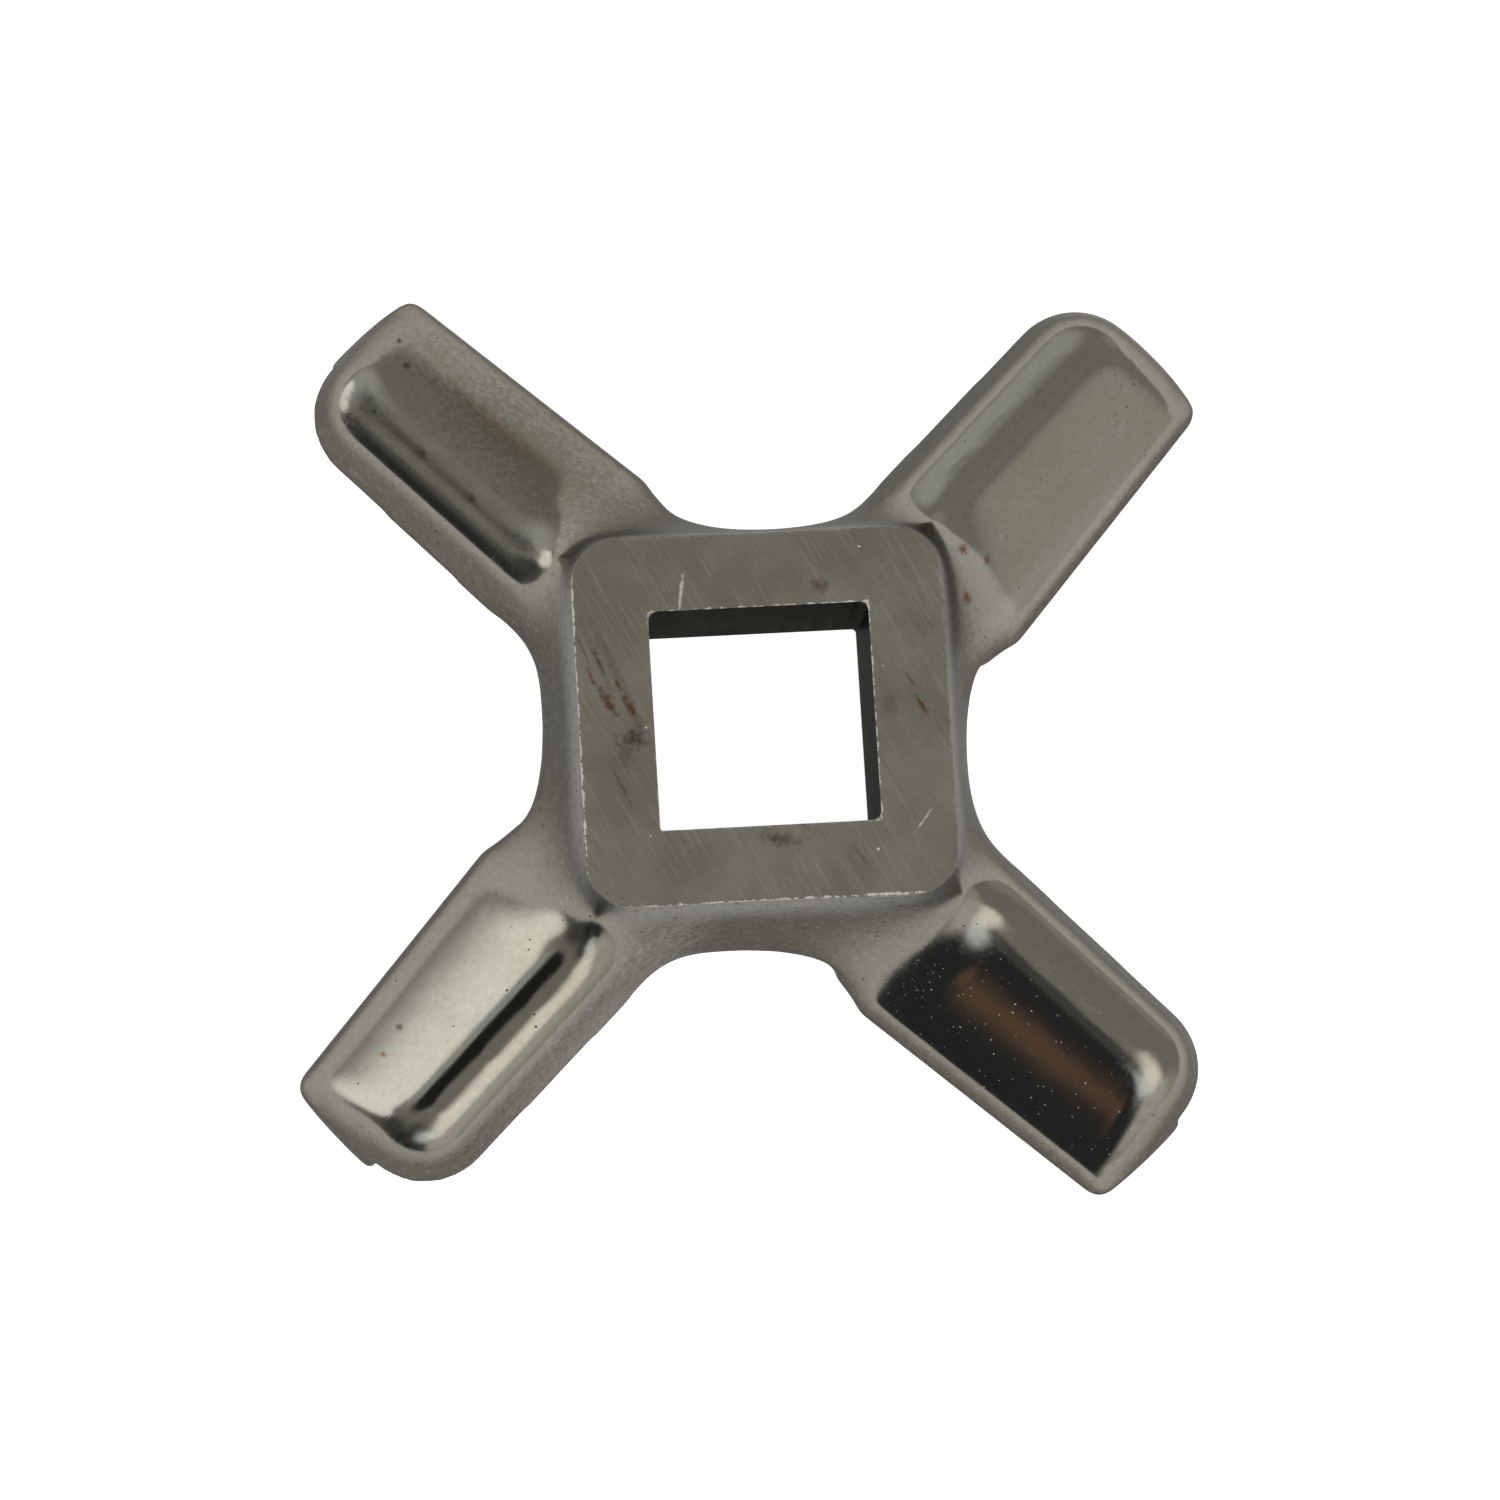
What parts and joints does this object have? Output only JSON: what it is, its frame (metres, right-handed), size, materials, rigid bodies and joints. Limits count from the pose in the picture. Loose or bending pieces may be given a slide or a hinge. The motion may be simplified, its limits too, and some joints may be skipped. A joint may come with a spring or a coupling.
{
  "type": "meat grinder knife",
  "caption": "Cast meat grinder knife: swept wings with ground cutting lands around a square hub with a square drive hole.",
  "frame": {"origin": "on the axis of the drive hole, at the level of the ground cutting lands", "axes": "+Z along the axis, from the cutting lands to the hub's ground face; X and Y parallel to the sides of the square drive hole"},
  "size_m": [0.043, 0.043, 0.0089],
  "materials": {
    "steel": "tumbled and polished casting, satin ground hub face and cutting lands"
  },
  "bodies": {
    "root": {"knife": "steel"}
  },
  "joints": []
}
